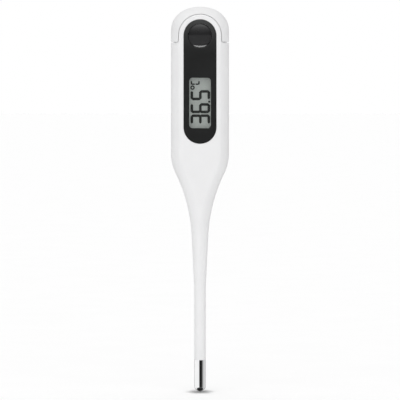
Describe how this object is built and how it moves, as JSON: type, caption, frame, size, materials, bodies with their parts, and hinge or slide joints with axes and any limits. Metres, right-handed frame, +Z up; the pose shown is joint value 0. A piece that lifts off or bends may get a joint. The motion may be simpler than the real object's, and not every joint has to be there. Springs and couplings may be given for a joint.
{
  "type": "digital thermometer",
  "caption": "Stick digital clinical thermometer with a tapered white body, metal probe tip, upright digital display, push button and pull-off battery cover.",
  "frame": {"origin": "the point of the metal probe tip, on the centre line of the probe, where the upright thermometer touches the surface", "axes": "+Z up along the body from the probe tip to the battery cover; the display and button face -Y; +X to the right seen from the front"},
  "size_m": [0.0188, 0.0108, 0.125],
  "materials": {
    "housing_plastic": "fine satin moulded ABS",
    "panel_plastic": "satin black, back-printed",
    "window_plastic": "polished clear acrylic",
    "adhesive": "double-sided foam tape",
    "button_plastic": "satin black",
    "silicone": "translucent grey silicone",
    "snap_steel": "plain spring steel",
    "polariser_film": "neutral grey-green film",
    "lcd_glass": "cut float glass",
    "reflector_film": "grey-green pearl film",
    "zebra_rubber": "striped elastomer",
    "frame_plastic": "natural white",
    "board_laminate": "green solder mask over glass epoxy",
    "epoxy": "glossy black drop",
    "chip_ceramic": "tan with tinned ends",
    "screw_steel": "zinc plated",
    "cell_steel": "nickel plated",
    "nylon": "natural nylon",
    "contact_metal": "gold-flashed phosphor bronze",
    "buzzer_brass": "rolled brass",
    "buzzer_ceramic": "silvered ceramic",
    "wire_insulation": "red and black insulation",
    "tip_steel": "mirror-polished stainless steel",
    "bead_glass": "dark coated bead",
    "enamelled_copper": "copper under enamel",
    "resin": "grey thermal resin"
  },
  "bodies": {
    "main_body": {"housing": "housing_plastic", "bezel_panel": "panel_plastic", "display_window": "window_plastic", "panel_adhesive": "adhesive", "button_seal": "silicone", "dome_switch": "snap_steel", "lcd_front_polariser": "polariser_film", "lcd_front_glass": "lcd_glass", "lcd_rear_glass": "lcd_glass", "lcd_reflector": "reflector_film", "zebra_strip": "zebra_rubber", "inner_frame": "frame_plastic", "circuit_board": "board_laminate", "controller_blob": "epoxy", "chip_components": "chip_ceramic", "board_screws": "screw_steel", "battery_holder": "frame_plastic", "cell_can": "cell_steel", "cell_cap": "cell_steel", "cell_gasket": "nylon", "positive_contact": "contact_metal", "negative_contact": "contact_metal", "buzzer_plate": "buzzer_brass", "buzzer_ceramic": "buzzer_ceramic", "buzzer_wires": "wire_insulation", "probe_tip": "tip_steel", "thermistor_bead": "bead_glass", "thermistor_leads": "enamelled_copper", "tip_potting": "resin"},
    "button": {"power_button": "button_plastic"},
    "cover": {"battery_cover": "housing_plastic"}
  },
  "joints": [
    {"name": "button_press", "type": "slide", "parent": "main_body", "child": "button", "axis": [0, 1, 0], "range_m": [0, 0.0004], "stiffness_N_per_m": 1500, "deforming": ["dome_switch", "button_seal"]},
    {"name": "cover_pull", "type": "slide", "parent": "main_body", "child": "cover", "axis": [0, 0, 1], "range_m": [0, 0.012]}
  ]
}
